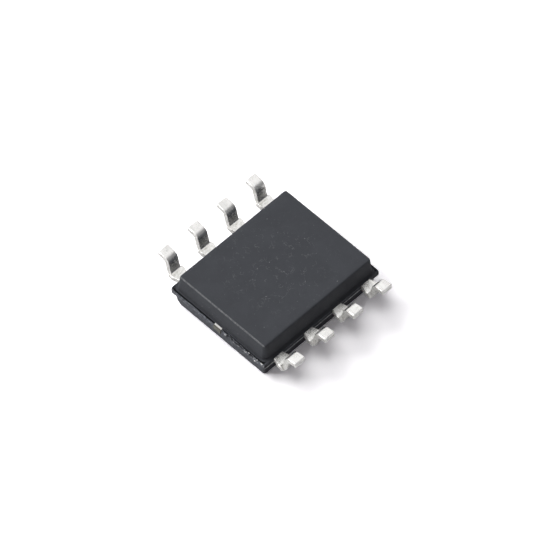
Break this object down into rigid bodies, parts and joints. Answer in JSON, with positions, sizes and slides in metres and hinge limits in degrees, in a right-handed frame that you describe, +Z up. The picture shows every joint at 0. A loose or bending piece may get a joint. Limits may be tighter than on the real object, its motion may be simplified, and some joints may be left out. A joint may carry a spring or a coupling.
{
  "type": "soic chip",
  "caption": "Small-outline integrated circuit lying on its back: a flat moulded body with formed gull-wing leads along its long sides, to be soldered to a circuit board.",
  "frame": {"origin": "centre of the marked face, which is down, on the plane that the chip lies on", "axes": "+Z up out of the underside, towards the solder feet; +Y across the rows of leads, towards leads 1 to 4; +X along the body, from lead 1 to lead 4"},
  "size_m": [0.005, 0.006, 0.0014],
  "materials": {
    "mold_compound": "fine matt charcoal epoxy moulding compound with light filler specks",
    "tin_plate": "matt tin plate over copper alloy",
    "leadframe_copper": "bare copper alloy, stamped",
    "silver_epoxy": "silver-filled die attach epoxy",
    "silicon": "sawn silicon, polished face",
    "gold_wire": "bright drawn gold"
  },
  "bodies": {
    "root": {"molded_case": "mold_compound", "die_pad": "leadframe_copper", "die_attach": "silver_epoxy", "silicon_die": "silicon", "lead_1": "tin_plate", "lead_2": "tin_plate", "lead_3": "tin_plate", "lead_4": "tin_plate", "lead_5": "tin_plate", "lead_6": "tin_plate", "lead_7": "tin_plate", "lead_8": "tin_plate", "bond_wire_1": "gold_wire", "bond_wire_2": "gold_wire", "bond_wire_3": "gold_wire", "bond_wire_4": "gold_wire", "bond_wire_5": "gold_wire", "bond_wire_6": "gold_wire", "bond_wire_7": "gold_wire", "bond_wire_8": "gold_wire"}
  },
  "joints": []
}
